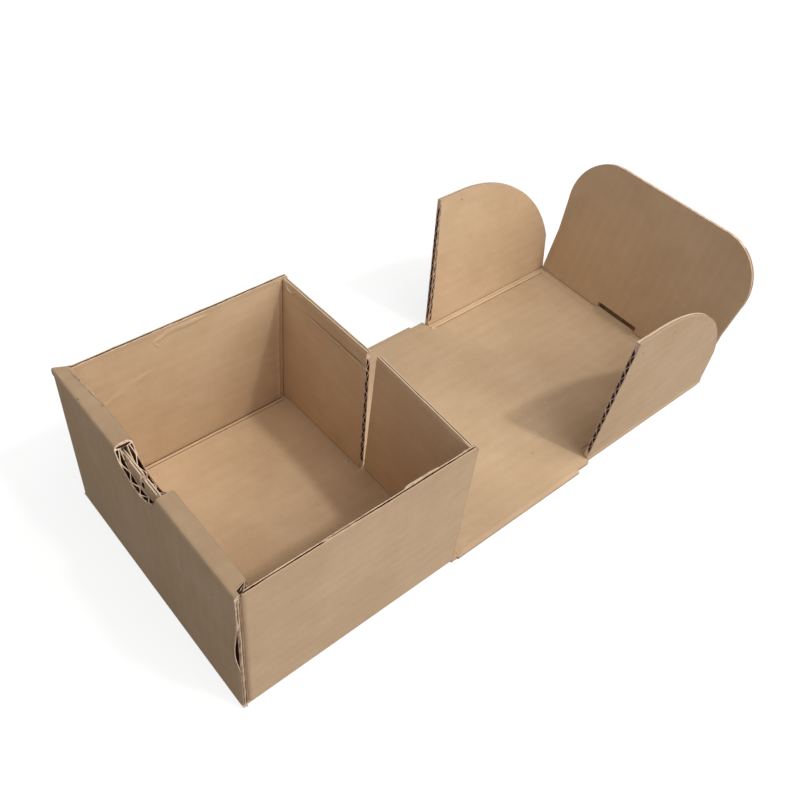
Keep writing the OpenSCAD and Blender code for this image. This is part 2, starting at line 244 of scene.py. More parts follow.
def liner_material(name, colours, across, painted_shade_to=1.0):
    """Kraft liner whose flutes repeat along X or Z; a value under 1 for the last argument paints shade off
    the pale line.
    """
    colour, dark = colours
    material, tree, surface = new_material(name)
    clouds = band(tree, grain(tree, 26, detail=4.0), 0.32, 0.68)
    patches = band(tree, grain(tree, 110, detail=3.0), 0.3, 0.7)
    fibres = grain(tree, 1400, stretch=(0.22, 1, 1) if across == "X" else (1, 1, 0.22), detail=4.0)
    streaks = grain(tree, 300, stretch=(1, 0.16, 0.16) if across == "X" else (0.16, 0.16, 1), detail=2.0)
    # Washboard: one soft wave for each flute
    place = add_node(tree, "ShaderNodeTexCoord").outputs["Object"]
    parts = add_node(tree, "ShaderNodeSeparateXYZ", {0: place})
    wave = math_of(tree, "COSINE", product(tree, parts.outputs[across], 2 * math.pi / (FLUTE_PITCH * MM)))
    # Specks of bark and of pale pulp
    spot = add_node(tree, "ShaderNodeTexVoronoi", {"Vector": place, "Scale": 95.0})
    speck = math_of(tree, "LESS_THAN", spot.outputs["Distance"], 0.034)
    pick = add_node(tree, "ShaderNodeSeparateColor", {0: spot.outputs["Color"]})
    dark_speck = product(tree, speck, math_of(tree, "GREATER_THAN", pick.outputs[0], 0.72))
    pale_speck = product(tree, speck, math_of(tree, "LESS_THAN", pick.outputs[0], 0.2))
    # Colour, layer on layer
    shade = mix_colours(tree, product(tree, clouds, 0.55), colour, dark)
    shade = mix_colours(tree, product(tree, patches, 0.22), shade, dark)
    # Painted light: a pale slanting line, with painted shade on both sides of it
    slant = math_of(tree, "SUBTRACT", product(tree, parts.outputs["Y"], PAINTED_LIGHT_SLANT), parts.outputs["X"])
    away = math_of(tree, "ABSOLUTE", math_of(tree, "SUBTRACT", slant, PAINTED_LIGHT_AT))
    light = product(
        tree, band(tree, fibres, 0.2, 0.8, 0.965, 1.03), band(tree, streaks, 0.3, 0.7, 0.985, 1.012),
        math_of(tree, "MULTIPLY_ADD", wave, 0.012, 1.0),
        band(tree, away, PAINTED_LIGHT_HALF, PAINTED_LIGHT_FADED, 1.0, painted_shade_to))
    grey = add_node(tree, "ShaderNodeCombineColor", {0: light, 1: light, 2: light}).outputs[0]
    shade = mix_colours(tree, 1.0, shade, grey, mode="MULTIPLY")
    shade = mix_colours(tree, product(tree, dark_speck, 0.7), shade, BARK_SPECK)
    shade = mix_colours(tree, product(tree, pale_speck, 0.6), shade, PULP_SPECK)
    height = math_of(tree, "MULTIPLY_ADD", wave, 0.35, product(tree, fibres, 0.3))
    height = math_of(tree, "MULTIPLY_ADD", patches, 0.35, height)
    finish_surface(tree, surface, shade, band(tree, fibres, 0.2, 0.8, 0.82, 0.96), height, 0.55, 0.00009)
    return material


outside_x = liner_material("kraft outside, flutes across X", OUTSIDE, "X")
outside_z = liner_material("kraft outside, flutes across Z", OUTSIDE, "Z")
inside_x = liner_material("kraft inside, flutes across X", INSIDE, "X")
inside_z = liner_material("kraft inside, flutes across Z", INSIDE, "Z")
inside_lid_painted_light = liner_material("kraft inside of the lid, painted light", INSIDE, "X", painted_shade_to=0.84)
rim_paper_painted_shade = liner_material("kraft rim, painted shade", RIM_PAINTED_SHADE, "X")
outside_slope = liner_material("kraft outside, worn slope", OUTSIDE_SLOPE, "Z")
inside_slope = liner_material("kraft inside, worn slope", INSIDE_SLOPE, "Z")
print("materials so far:", [material.name for material in bpy.data.materials])

# %% [markdown]
# ## Cut edges and the inside of the flutes
# A steel rule cuts the board and leaves a slightly fuzzy, greyish edge. Behind it the wavy layer
# is a cheaper, darker paper, and hardly any light gets in. One rough paper is made in several colours,
# from the pale cut line to the dark hollow, and one is painted shade for gaps. An edge cut along the flutes
# is pinched shut: two lips with a slit between them, too fine to model, so its shade is painted as a line.

# %% Edge materials


def edge_material(name, colours, relief, shine=0.22):
    """Raw paper with a coarse, fuzzy grain."""
    material, tree, surface = new_material(name, shine)
    fuzz = grain(tree, 2300, detail=4.0, roughness=0.7)
    blotch = grain(tree, 420, detail=2.0)
    mask = band(tree, math_of(tree, "MULTIPLY_ADD", blotch, 0.6, product(tree, fuzz, 0.4)), 0.36, 0.64)
    shade = mix_colours(tree, mask, *colours)
    finish_surface(tree, surface, shade, band(tree, fuzz, 0.2, 0.8, 0.88, 1.0), fuzz, 0.8, relief)
    return material


cut_edge = edge_material("cut edge", CUT, 0.00012)
flute_inside = edge_material("wavy layer", FLUTE, 0.00006)
torn_liner = edge_material("torn liner", TORN, 0.00004)
# Painted shade, dark and without shine, for gaps, slits and corners
gap_shade_paint = edge_material("painted shade in gaps", GAP_SHADE, 0.00002, shine=0.0)
worn_and_shaded_paper = edge_material("worn paper with painted shade", WORN_AND_SHADE, 0.00004)
brown_shade_paper = edge_material("brown paper with painted shade", BROWN_SHADE, 0.00004, shine=0.0)


def folded_edge(name, normal, middle, outer, inner, mirrored=False):
    """Edge pinched shut: the outer liner, a thin line of painted shade, and the lip of the inner liner."""
    material, tree, surface = new_material(name)
    place = add_node(tree, "ShaderNodeTexCoord").outputs["Object"]
    dot = add_node(tree, "ShaderNodeVectorMath", {0: place, 1: tuple(normal)}, operation="DOT_PRODUCT")
    across = dot.outputs["Value"]
    if mirrored:
        across = math_of(tree, "ABSOLUTE", across)
    waver = math_of(tree, "MULTIPLY_ADD", grain(tree, 170, detail=2.0), 0.9, -0.45 - middle)
    depth = math_of(tree, "MULTIPLY_ADD", across, 1 / MM, waver)
    shade = mix_colours(tree, band(tree, depth, -0.02, 0.08), inner, outer)
    line = band(tree, math_of(tree, "ABSOLUTE", depth), 0.08, 0.2, 0.85, 0.0)
    # The dark line between the lips is painted shade
    shade = mix_colours(tree, line, shade, GAP_SHADE[0])
    fuzz = grain(tree, 1800, detail=4.0, roughness=0.7)
    shade = mix_colours(tree, band(tree, fuzz, 0.35, 0.75, 0.0, 0.3), shade, CUT[1])
    finish_surface(tree, surface, shade, 0.95, fuzz, 0.6, 0.00005)
    return material


# %% [markdown]
# ## Which face of the board is which
# Each CAD board has two broad liner faces, cut edges round them, and the hollow flutes between.
# Unwrapping or painting them by hand would take hours, but geometry tells them apart: a liner
# face lies on the board's own outer or inner plane, a cut edge stands square to the board, and
# what is left is the inside of a flute. The tray has boards in three directions, so the place of
# a face says which of its boards it is in.

# %% Liner, edge or flute
# Places of the finishes in each part's list of materials
OUTSIDE_OF, INSIDE_OF = {"X": 0, "Z": 1}, {"X": 2, "Z": 3}
CUT_FACE, HOLLOW, PINCHED, ROLL, SLOPE_OUT, SLOPE_IN = range(4, 10)
TOUCH = 0.03
PARALLEL = 0.999


def finish_of(face_normal, place, normal, outer, inner, flutes, across):
    """Which finish a face gets in a board with these liner planes and this flute direction."""
    facing = face_normal.dot(normal)
    depth = place.dot(normal)
    if abs(facing) > PARALLEL and abs(depth - outer) < TOUCH:
        return OUTSIDE_OF[across]
    if abs(facing) > PARALLEL and abs(depth - inner) < TOUCH:
        return INSIDE_OF[across]
    if 0.95 < abs(facing) < PARALLEL:
        return OUTSIDE_OF[across] if facing > 0 else INSIDE_OF[across]
    if abs(face_normal.dot(flutes)) > 0.9:
        return CUT_FACE
    return PINCHED if abs(facing) < 0.05 else HOLLOW


def finish_of_tray(face_normal, p):
    """The same for the tray: its roll, front wall, floor, side walls, dust flaps and inner panel."""
    side = math.copysign(1, p.x)
    if p.z > wall_z + TOUCH:
        return ROLL if p.z > wall_z + 0.2 and abs(face_normal.x) < 0.5 else CUT_FACE
    if p.y < front_y + board_t + TOUCH:
        if abs(face_normal.x) > 0.9 and abs(p.x) > wall_x - TOUCH:
            return CUT_FACE
        if p.z < board_t:
            return OUTSIDE_OF["X"]
        return finish_of(face_normal, p, -Y, -front_y, -front_y - board_t, Z, "X")
    if p.z < board_t + TOUCH and abs(p.x) < wall_inside - TOUCH:
        return finish_of(face_normal, p, -Z, 0, -board_t, Y, "X")
    if abs(p.x) > wall_inside - TOUCH:
        slant = abs(face_normal.x)
        if abs(face_normal.y) > 0.9:
            return CUT_FACE
        if 0.01 < slant < PARALLEL and (p.z < board_t or p.y < front_y + 5):
            return OUTSIDE_OF["Z"]
        if 0.95 < slant < PARALLEL and p.z > 0.8 * wall_z:
            return SLOPE_OUT if side * face_normal.x > 0 else SLOPE_IN
        return finish_of(face_normal, p, side * X, wall_x, wall_inside, Y, "Z")
    if p.y < front_y + 2 * board_t + 1.5 * PLY_GAP:
        dust_outer = -front_y - board_t - PLY_GAP
        return finish_of(face_normal, p, -Y, dust_outer, dust_outer - board_t, X, "Z")
    return finish_of(face_normal, p, Y, inner_y, inner_y - board_t, Z, "X")


def dress(node, flutes=None, across="X", inner_side=None, inner=None, lips=(OUTSIDE[0], TORN[0])):
    """Gives each face of a CAD part the finish of liner, cut edge or flute."""
    mesh = frame["nodes"][node].data
    if inner_side is None:
        edge = folded_edge("folded edge " + node, X, wall_x - board_t / 2, *lips, mirrored=True)
    else:
        normal = max(mesh.polygons, key=lambda f: f.area).normal.copy()
        if normal.dot(inner_side) > 0:
            normal = -normal
        depths = [v.co.dot(normal) / MM for v in mesh.vertices]
        flute_line = (flutes - flutes.dot(normal) * normal).normalized()
        edge = folded_edge("folded edge " + node, normal, (max(depths) + min(depths)) / 2, *lips)
    mesh.materials.clear()
    for material in (outside_x, outside_z, inner or inside_x, inside_z, cut_edge, flute_inside,
                     edge, rim_paper_painted_shade, outside_slope, inside_slope):
        mesh.materials.append(material)
    counts = [0] * len(mesh.materials)
    for face in mesh.polygons:
        place = face.center / MM
        if inner_side is None:
            index = finish_of_tray(face.normal, place)
        else:
            index = finish_of(face.normal, place, normal, max(depths), min(depths), flute_line, across)
        face.material_index = index
        counts[index] += 1
    print(node, "faces by finish:", counts)


dress("tray", lips=(paint(174, 149, 122), TORN[0]))
# The back panel and the lid get the liner with painted light and shade on their inner face
dress("back_panel", Y, "X", inner_side=Z, inner=inside_lid_painted_light)
dress("lid", Y, "X", inner_side=Z, inner=inside_lid_painted_light)
dress("tuck_flap", Z, "X", inner_side=-Y, lips=(paint(150, 124, 104), INSIDE[0]))
dress("ear_near", Y, "Z", inner_side=-X, lips=(OUTSIDE_SLOPE[0], TORN[0]))
dress("ear_far", Y, "Z", inner_side=X, lips=(OUTSIDE[0], INSIDE[0]))
dress("back_flap_near", X, "Z", inner_side=-Y)
dress("back_flap_far", X, "Z", inner_side=-Y)

# %% [markdown]
# ## The crushed ends of the roll
# The rolled rim isn't even. At its far end it was pressed down to the top of the wall on the inner
# side, and at its near end its inner side stops short of the wall. These are dents in paper, so
# the CAD tray keeps its clean roll, and a copy of its mesh stands for it here. A few cuts give the
# copy points to move, and one function sinks them. Every strip of paper that lies there is moved by
# the same function, so nothing comes apart.

# %% The worn tray
FALL_FROM, FALL_TO = -47.0, -62.0
STOP_X, STOP_Y, STOP_SLOPE = 60.8, -49.0, 1.125
STOP_LIP = 0.08
ROLL_REACH = 0.6


def steps(low, high, count):
    """Evenly spaced values from low to high."""
    return [low + (high - low) * i / (count - 1) for i in range(count)]


def sink(p):
    """Where a point of the roll's far end goes, in mm."""
    if p.z <= wall_z or p.y > inner_y + ROLL_REACH or p.x > FALL_FROM:
        return p
    along_end = min(1.0, (FALL_FROM - p.x) / (FALL_FROM - FALL_TO))
    inward = min(1.0, max(0.0, (p.y - front_y - 0.8) / (inner_y - front_y - 1.6)))
    keep = 1 - inward * along_end * along_end * (3 - 2 * along_end)
    return Vector((p.x, p.y, wall_z + (p.z - wall_z) * keep))


def stop_x(y):
    """Where the roll stops beside the near wall, at this y."""
    return STOP_X - STOP_SLOPE * (y - STOP_Y)


def add_object(name, data):
    """Puts a mesh, lamp or camera in the scene."""
    thing = bpy.data.objects.new(name, data)
    scene.collection.objects.link(thing)
    return thing


work = bmesh.new()
work.from_mesh(frame["nodes"]["tray"].data)
cuts = [(Vector((x, 0, 0)), X) for x in steps(FALL_FROM, FALL_TO, 9)]
for shift in (0.0, 0.1):
    cuts.append((Vector((STOP_X + shift, STOP_Y, 0)), Vector((1, STOP_SLOPE, 0)).normalized()))
for place, direction in cuts:
    roll = [f for f in work.faces if max(v.co.z for v in f.verts) > (wall_z + 0.01) * MM]
    parts = roll + list({e for f in roll for e in f.edges}) + list({v for f in roll for v in f.verts})
    bmesh.ops.bisect_plane(work, geom=parts, plane_co=place * MM, plane_no=direction)
for vertex in work.verts:
    p = vertex.co / MM
    if p.z > wall_z and p.y < inner_y + ROLL_REACH and p.x > stop_x(p.y) + STOP_LIP:
        p.z = wall_z + 0.02
    vertex.co = sink(p) * MM
for face in work.faces:
    p = face.calc_center_median() / MM
    if face.material_index == ROLL and p.x > stop_x(p.y) + STOP_LIP:
        face.material_index = HOLLOW
worn_mesh = frame["nodes"]["tray"].data.copy()
work.to_mesh(worn_mesh)
work.free()
worn_tray = add_object("worn_tray", worn_mesh)
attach(worn_tray, "tray")
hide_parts("tray")
print("worn tray faces:", len(worn_mesh.polygons))

# %% [markdown]
# ## A helper that lofts paper
# Creases, beads and torn liner are all long, thin shapes: one small outline carried along a line.
# A loft takes a list of outlines with the same number of points and joins each to the next. It
# gives clean strips of quads. Curves with a bevel are another way, but their sections can't change
# along the line.

# %% Loft helper


def loft(name, outlines, material, dark=(), second=None):
    """Closed solid through outlines in mm, each a top line out and an under line back.

    The bands of the top line that are listed in dark get the second material, by default the painted shade.
    """
    work = bmesh.new()
    rings = [[work.verts.new(sink(Vector(p)) * MM) for p in outline] for outline in outlines]
    count = len(rings[0])
    for a, b in zip(rings, rings[1:]):
        for i in range(count):
            j = (i + 1) % count
            work.faces.new((a[i], a[j], b[j], b[i])).material_index = int(i in dark)
    for ring in (rings[0], rings[-1]):
        for i in range(count // 2 - 1):
            work.faces.new((ring[i], ring[i + 1], ring[count - 2 - i], ring[count - 1 - i]))
    bmesh.ops.recalc_face_normals(work, faces=work.faces[:])
    mesh = bpy.data.meshes.new(name)
    work.to_mesh(mesh)
    work.free()
    mesh.materials.append(material)
    mesh.materials.append(second or gap_shade_paint)
    piece = add_object(name, mesh)
    mesh.polygons.foreach_set("use_smooth", [True] * len(mesh.polygons))
    mesh.set_sharp_from_angle(angle=math.radians(50))
    return piece


def ripple(s, seed, wavelength=9.0):
    """Smooth, repeatable unevenness between about -1 and 1 along a line."""
    return noise.noise(Vector((s / wavelength, seed * 7.31, 0.5))) * 1.6


# %% [markdown]
# ## Creases that lie flat
# The back panel folds up from the tray's floor, and the lid from the back panel. In the real
# board nothing is parted there: the crease is pressed into the sheet as a shallow groove between
# two soft beads, and the outer liner bends round the fold. Two pieces do this. One fills the
# narrow gap that the CAD leaves for the hinge, and the other carries the groove and the beads.

# %% Flat creases
FOLD_GAP = 0.25


def crease_frame(origin, out, up, line):
    """Gives the place a out of the fixed board, b up from its outer face and s along the crease."""
    origin = Vector(origin)
    return lambda a, b, s: origin + out * a + up * b + line * s


def bead(a, centre, width, height):
    """Height of a soft ridge at distance a."""
    return height * math.exp(-(((a - centre) / width) ** 2))


def flat_crease(name, joint, half_width, height, seed):
    """Fills a crease that lies flat and presses its double line into the inner face."""
    fold = crease_frame((0, crease[joint].y, 0), Y, Z, X)
    places = steps(-half_width, half_width, 61)
    across = steps(-0.01, FOLD_GAP + 0.01, 10)
    outlines = []
    for s in places:
        lower = [fold(a, 0.02, s) for a in across]
        upper = [fold(a, board_t - 0.02, s) for a in reversed(across)]
        outlines.append(lower + upper)
    filler = loft(name + "_fold", outlines, outside_x)
    fold(0, board_t, 0) * MM
    fold(FOLD_GAP, board_t, 0) * MM
    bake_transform(filler)
    across = steps(-2.6, 2.9, 23)
    outlines = []
    for s in places:
        swell = 1 + 0.35 * ripple(s, seed)
        shift = 0.12 * ripple(s, seed + 3, 22)
        beads = [bead(a, -1.0 + shift, 0.5, height) + bead(a, 1.25 + shift, 0.5, height) for a in across]
        upper = [fold(a, board_t + 0.015 + swell * b, s) for a, b in zip(across, beads)]
        lower = [fold(a, board_t - 0.15, s) for a in reversed(across)]
        outlines.append(lower + upper)
    line = loft(name + "_line", outlines, inside_lid_painted_light)
    fold(-0.35, board_t, 0) * MM
    fold(0.6, board_t, 0) * MM
    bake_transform(line)
    print(name, "at y", round(crease[joint].y, 2), "mm, half width", round(half_width, 1))


flat_crease("back_crease", "back_panel_crease", wall_x - 0.05, 0.2, 1)
flat_crease("lid_crease", "lid_crease", corners("lid")[1].x - 0.1, 0.1, 2)

# %% [markdown]
# ## Creases that stand
# The ears, the tuck flap and the back flaps stand on their creases. The outer liner runs round
# the outside of the fold, the wavy layer is crushed, and the inner liner puckers into a small
# bead in the corner. The outer part turns with the flap about the crease itself, so it can ride
# on the flap. The inner liner joins the two boards as they stand at rest.

# %% Standing creases


def standing_crease(name, fold, bodies, low, high, lean, seed, materials):
    """Closes the corner of a flap that stands at 90 degrees plus its lean on a board."""
    lean = math.radians(lean)
    flap = Vector((math.sin(lean), math.cos(lean)))
    inward = Vector((-math.cos(lean), math.sin(lean)))
    places = steps(low, high, max(12, int((high - low) / 2.5)))
    # Outer part: the bare liner as far as the top of the fixed board, and the full board above it.
    # Each triple is a distance up the flap and the depths of the outer and inner face there.
    rise = [(0.0, -0.27, -0.07), (0.8, -0.28, -0.07), (1.8, -0.26, -0.07), (board_t, -0.2, -0.07),
            (board_t + 0.08, -0.17, -0.07), (board_t + 0.12, -0.15, board_t),
            (board_t + 0.3, -0.02, board_t), (board_t + 0.5, 0.0, board_t)]
    section = [flap * t + inward * outer for t, outer, inner in rise]
    section += [flap * t + inward * inner for t, outer, inner in reversed(rise)]
    outlines = [[fold(*p, s) for p in section] for s in places]
    outer_part = loft(name + "_outer_fold", outlines, materials[0])
    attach(outer_part, bodies[1])
    # Inner liner: along the fixed board, round the corner, and up the flap
    corner_at = flap * ((board_t - board_t * math.sin(lean)) / math.cos(lean)) + inward * board_t
    base = [Vector((corner_at.x - d, board_t)) for d in (4.2, 3.6, 3.1, 2.7, 2.3, 1.9, 1.5, 1.1)]
    bends = (0.25, 0.5, 0.75)
    turn = [corner_at + Vector((-1, 0)) * 1.1 * (1 - u) ** 2 + flap * 0.5 * u ** 2 for u in bends]
    climb = [corner_at + flap * d for d in (0.5, 0.8, 1.1, 1.4, 1.8, 2.3, 2.9, 3.6, 4.4)]
    path = base + turn + climb
    sides = [Vector((0, 1))] * len(base)
    sides += [(Vector((0, 1)) * (1 - u) + inward * u).normalized() for u in bends]
    sides += [inward] * len(climb)
    # Distance from the corner, which counts as negative up the flap
    away = [(p - corner_at).length * (-1 if n is inward else 1) for p, n in zip(path, sides)]
    outlines = []
    for s in places:
        swell = 1 + 0.4 * ripple(s, seed)
        raised = [0.02 + swell * (bead(d, 2.4, 0.5, 0.42) + bead(d, -2.0, 0.7, 0.08)) for d in away]
        top = [p + n * r for p, n, r in zip(path, sides, raised)]
        under = [p - n * 0.18 for p, n in zip(path, sides)]
        outlines.append([fold(*p, s) for p in top + under[::-1]])
    # The band in the inner corner gets painted shade
    inner_part = loft(name + "_inner_line", outlines, materials[1], dark=[len(base) + 1])
    start, end = (fold(*(corner_at + flap * d), 0) * MM for d in (0.35, 1.35))
    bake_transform(inner_part)
    print(name, "from", round(low, 1), "to", round(high, 1), "mm, lean", round(math.degrees(lean), 1))


# How far each flap leans out at rest: its joint's highest value brings it square
rest_lean = {j["name"]: j["range_deg"][1] for j in frame["joints"]}
tuck_y = crease["tuck_crease"].y
for side, name in SIDES:
    ear, flap = f"ear_{name}", f"back_flap_{name}"
    place = crease[ear + "_crease"]
    low, high = corners(ear)
    standing_crease(
        ear + "_crease", crease_frame((place.x, 0, 0), side * X, Z, Y), ("lid", ear),
        low.y + 0.05, min(high.y - 0.05, tuck_y - board_t - 0.2),
        rest_lean[ear + "_crease"], 11 + side, (outside_z, inside_z))
    place = crease[flap + "_crease"]
    low, high = corners(flap)
    standing_crease(
        flap + "_crease", crease_frame((place.x, place.y, 0), Y, -side * X, Z), ("tray", flap),
        low.z + 0.05, high.z - 0.05, rest_lean[flap + "_crease"], 21 + side, (outside_z, inside_z))

SLOT_HALF = 14.0
tuck_half = crease["ear_near_crease"].x - board_t - 0.35
for side, name in SIDES:
    ends = sorted((side * (SLOT_HALF + 0.1), side * tuck_half))
    standing_crease(
        f"tuck_crease_{name}", crease_frame((0, tuck_y, 0), Y, Z, X), ("lid", "tuck_flap"),
        *ends, rest_lean["tuck_crease"], 31 + side, (outside_x, inside_x))

# %% [markdown]
# ## A helper that draws on the board
# Beads, wrinkles, torn liner and the thin shadows beside them are all low ridges that follow a line on
# a panel. This helper lofts a small arch along such a line, lets its height waver, and tapers it out
# at both ends. Real relief catches the light from every side, which a painted line doesn't.

# %% Ridge helper


def along(points, step=1.0):
    """Points, about a step apart, along a line with corners."""
    line = [Vector(points[0])]
    for a, b in zip(points, points[1:]):
        a, b = Vector(a), Vector(b)
        count = max(1, round((b - a).length / step))
        line += [a.lerp(b, (i + 1) / count) for i in range(count)]
    return line


def level(z, *places):
    """Line through (x, y) places that all lie at one height."""
    return [(x, y, z) for x, y in places]


def ridge(name, points, up, width, height, material, node="tray", waver=0.3, taper=2.0, seed=0, step=1.0):
    """Low arch along a line on a panel; up is the panel's normal, or a function of the place."""
    line = along(points, step)
    lengths = [0.0]
    for a, b in zip(line, line[1:]):
        lengths.append(lengths[-1] + (b - a).length)
    outlines = []
    for i, p in enumerate(line):
        tangent = (line[min(i + 1, len(line) - 1)] - line[max(i - 1, 0)]).normalized()
        normal = up(p) if callable(up) else Vector(up)
        side = tangent.cross(normal).normalized()
        edge = min(lengths[i], lengths[-1] - lengths[i])
        fade = min(1.0, 0.15 + edge / taper)
        rise = height * fade * (1 + waver * ripple(lengths[i], seed, 5.0))
        half = width / 2 * fade
        middle = p + side * (0.25 * width * waver * ripple(lengths[i], seed + 5, 8.0))
        across = (-1, -0.6, -0.2, 0.2, 0.6, 1)
        top = [middle + side * (u * half) + normal * (rise * (1 - u * u)) for u in across]
        under = [middle + side * (u * half) - normal * 0.12 for u in reversed(across)]
        outlines.append(top + under)
    piece = loft(name, outlines, material)
    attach(piece, node)
    return piece


# %% [markdown]
# ## The tray's inside corners
# A crease folded to 90 degrees squeezes the inner liner into a bead where the floor meets a side
# wall. It shows as a bright line between two thin dark ones, and two faint grooves run along the
# lid inside each ear. The bead is one ridge, which catches the light as the real one does; the dark
# lines beside it and the grooves are thin ridges of painted shade.

# %% Beads on the floor
# The gap and groove lines are painted shade beside the bead
FLOOR_LINES = (("bead", 1.2, 1.5, 0.5, inside_x), ("gap", 0.25, 0.4, 0.04, gap_shade_paint),
               ("groove", 2.15, 0.35, 0.03, flute_inside))
for side, name in SIDES:
    for part, inset, width, height, material in FLOOR_LINES:
        x = side * (wall_inside - inset)
        line = level(board_t, (x, inner_y + 0.2), (x, back_y - board_t - 0.4))
        ridge(f"floor_{part}_{name}", line, Z, width, height, material, seed=3 + side)
    lid_x = side * (crease["ear_near_crease"].x - board_t)
    low, high = corners(f"ear_{name}")
    for inset in (1.45, 3.5):
        x = lid_x - side * inset
        line = level(board_t, (x, low.y + 1), (x, high.y - 1))
        ridge(f"ear_groove_shade_{name}_{round(inset)}", line, Z, 0.45, 0.05, gap_shade_paint, node="lid", seed=8 + side)

# %% [markdown]
# ## The rolled rim
# The front wall's board rolls over a double crease. On the real box the outer liner is stretched
# flat over the roll with two clear edges, a little dented, and it stops in a ragged edge at the
# thumb notch. The CAD roll is rounder, so one thin liner on each side of the notch squares it. At
# the pressed end it follows the roll down, and a ragged line shows there.

# %% Rim liner
NOTCH_R, NOTCH_Z = 15.0, 84.0
PRESSED_FROM, PRESSED_TO = -34.0, -62.5


def rim_outline(x, seed):
    """Section of the liner over the rim: up the front, across the top, down the back."""
    dent = 0.07 * ripple(x, seed, 7.0)
    wear = 0.12 * max(0.0, ripple(x, seed + 2, 16.0))
    front, back, top = front_y - 0.02, inner_y + 0.02, rim_z + 0.02
    # Each pair is a distance in from the front or the back, and one down from the top
    ahead = [(0, 3.2), (0, 2.4), (0, 1.3 + dent), (0.1 + wear, 0.5 + dent), (0.5 + wear, 0.1 + 0.4 * wear),
             (1.5 + dent, 0), (3.2, 0.05 - 0.4 * dent)]
    behind = [(2.2, 0.05 + 0.3 * dent), (1.2, 0), (0.5 + wear, 0.12), (0.12, 0.5 + wear),
              (0, 1.3), (0, 2.4), (0, 3.4)]
    outer = [Vector((front + a, top - b)) for a, b in ahead]
    outer += [Vector((back - a, top - b)) for a, b in behind]
    # Towards the pressed end the back edge grows round
    fall = min(1.0, max(0.0, (-x - 56.0) / 6.0))
    roll = Vector((back - board_t, wall_z))
    for i, q in enumerate(outer):
        if q.x > roll.x and q.y > wall_z:
            outer[i] = q.lerp(roll + (q - roll).normalized() * (board_t + 0.02), fall)
    middle = Vector(((front + back) / 2, top - 2.6))
    inner = [q.lerp(middle, 0.3) for q in outer]
    return [Vector((min(x, stop_x(q.x)), *q)) for q in outer + inner[::-1]]


# The rim liner is in the darkened rim colour, which is painted shade; its front bands are in the outside
# liner
for side, name in SIDES:
    ends = sorted((side * (NOTCH_R - 0.1), side * (wall_x - 0.02)))
    outlines = [rim_outline(x, 40 + side) for x in steps(*ends, 56)]
    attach(loft(f"rim_liner_{name}", outlines, rim_paper_painted_shade, range(3), outside_x), "tray")

outlines, ragged = [], []
for x in steps(PRESSED_TO, PRESSED_FROM, 44):
    ebb = min(1.0, (PRESSED_FROM - x) / 14.0) * (1 + 0.3 * ripple(x, 141, 5.0))
    edge_at = inner_y - 0.3 - 1.3 * ebb
    top = [(edge_at, rim_z + 0.03), ((edge_at + inner_y) / 2, rim_z + 0.06)]
    top += [(inner_y - 0.1, rim_z - 0.35), (inner_y + 0.08, rim_z - 1.3)]
    under = [Vector((x, y - 0.1, z - 0.25)) for y, z in reversed(top)]
    outlines.append([Vector((x, y, z)) for y, z in top] + under)
    ragged.append((x, edge_at, rim_z))
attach(loft("rim_pressed_side", outlines, inside_slope), "tray")
# The ragged line is worn paper with a brown painted shade
ridge("rim_ragged_line", ragged, Z, 0.55, 0.1, worn_and_shaded_paper, waver=1.3, seed=142)

# Small wrinkles where the roll is squeezed at its far end, and specks of painted shade along its inner edge
for i, line in enumerate((
        [(-61.5, -48.9), (-59.2, -49.0), (-56.3, -48.6), (-53.5, -48.9)],
        [(-49.5, -48.4), (-46.8, -48.9), (-43.6, -48.3)])):
    ridge(f"rim_wrinkle_{i}", level(rim_z, *line), Z, 1.1, 0.16, rim_paper_painted_shade, seed=50 + i)
for i, (x, y) in enumerate(((-52.1, -49.1), (-42.4, -48.7), (-43.2, -53.9), (-35.0, -48.5))):
    line = level(rim_z, (x, y), (x + 0.7, y + 0.2))
    ridge(f"rim_shade_speck_{i}", line, Z, 0.5, 0.08, gap_shade_paint, taper=0.3, step=0.3)

# %% [markdown]
# ## The thumb notch
# The notch cuts through the roll and shows both boards end on: thin torn liners with the wavy
# layer between them, and the dust flaps lying in the roll. The CAD has the clean section, so
# ragged strips of paper are added along its curved cut.

# %% Torn paper in the notch
END_GAP_AT, END_LINER_AT = 73.2, 74.5


def notch_place(degrees, y):
    """Place on the notch's curved cut, so many degrees from its lowest line."""
    angle = math.radians(degrees)
    return Vector((NOTCH_R * math.sin(angle), y, NOTCH_Z - NOTCH_R * math.cos(angle)))


def towards_notch(p):
    """Normal of the notch's cut at a place on it."""
    return Vector((-p.x, 0, NOTCH_Z - p.z)).normalized()


NOTCH_LINERS = ((-54.58, 0.5), (-52.45, 0.9), (-52.1, 0.5), (-49.9, 0.6), (-49.6, 0.8), (-47.52, 0.6))
for i, (y, height) in enumerate(NOTCH_LINERS):
    line = [notch_place(a, y + 0.1 * ripple(a, i, 9)) for a in steps(-50, 50, 60)]
    ridge(f"notch_liner_{i}", line, towards_notch, 0.36, height, torn_liner, waver=0.9, seed=60 + i, step=0.6)
